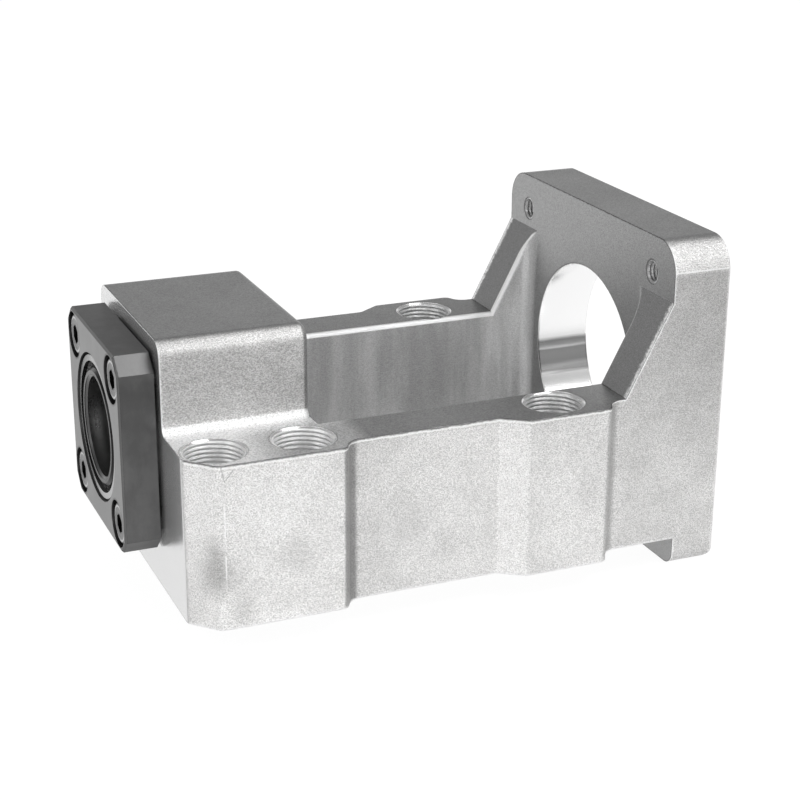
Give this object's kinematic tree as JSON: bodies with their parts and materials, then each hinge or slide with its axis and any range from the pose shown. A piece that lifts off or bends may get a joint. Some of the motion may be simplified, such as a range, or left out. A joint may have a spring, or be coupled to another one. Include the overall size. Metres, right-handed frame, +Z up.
{
  "type": "motor bracket",
  "caption": "Cast ball screw motor bracket with a square motor flange, a bearing block with a retainer plate, and threaded base holes on its rails.",
  "frame": {"origin": "centre of the four outer base holes, on the base plane", "axes": "+X along the screw axis towards the motor, +Y across the rails, +Z up from the base plane"},
  "size_m": [0.1024, 0.0682, 0.0588],
  "materials": {
    "cast_aluminium": "blasted casting, machined faces",
    "plate_steel": "ground, dark",
    "screw_steel": "black oxide, worn",
    "bearing_steel": "ground bearing steel",
    "collar_steel": "ground, oiled",
    "case_steel": "pressed, bright",
    "seal_rubber": "oiled black rubber",
    "cage_plastic": "moulded polyamide"
  },
  "bodies": {
    "bracket": {"bracket_body": "cast_aluminium", "retainer_plate": "plate_steel", "front_outer_ring": "bearing_steel", "rear_outer_ring": "bearing_steel", "front_seal_case": "case_steel", "rear_seal_case": "case_steel", "front_seal_lip": "seal_rubber", "rear_seal_lip": "seal_rubber", "retainer_screw_1": "screw_steel", "retainer_screw_2": "screw_steel", "retainer_screw_3": "screw_steel", "retainer_screw_4": "screw_steel"},
    "journal_sleeve": {"front_collar": "collar_steel", "rear_collar": "collar_steel", "front_inner_ring": "bearing_steel", "rear_inner_ring": "bearing_steel"},
    "front_ball_set": {"front_cage": "cage_plastic", "front_balls": "bearing_steel"},
    "rear_ball_set": {"rear_cage": "cage_plastic", "rear_balls": "bearing_steel"}
  },
  "joints": [
    {"name": "journal_spin", "type": "hinge", "parent": "bracket", "child": "journal_sleeve", "pos_m": [-0.023, 0, 0.024], "axis": [1, 0, 0], "continuous": true},
    {"name": "front_ball_spin", "type": "hinge", "parent": "bracket", "child": "front_ball_set", "pos_m": [-0.023, 0, 0.024], "axis": [1, 0, 0], "continuous": true},
    {"name": "rear_ball_spin", "type": "hinge", "parent": "bracket", "child": "rear_ball_set", "pos_m": [-0.023, 0, 0.024], "axis": [1, 0, 0], "continuous": true}
  ],
  "couplings": [
    {"joint": "front_ball_spin", "follows": "journal_spin", "ratio": 0.427},
    {"joint": "rear_ball_spin", "follows": "journal_spin", "ratio": 0.427}
  ]
}
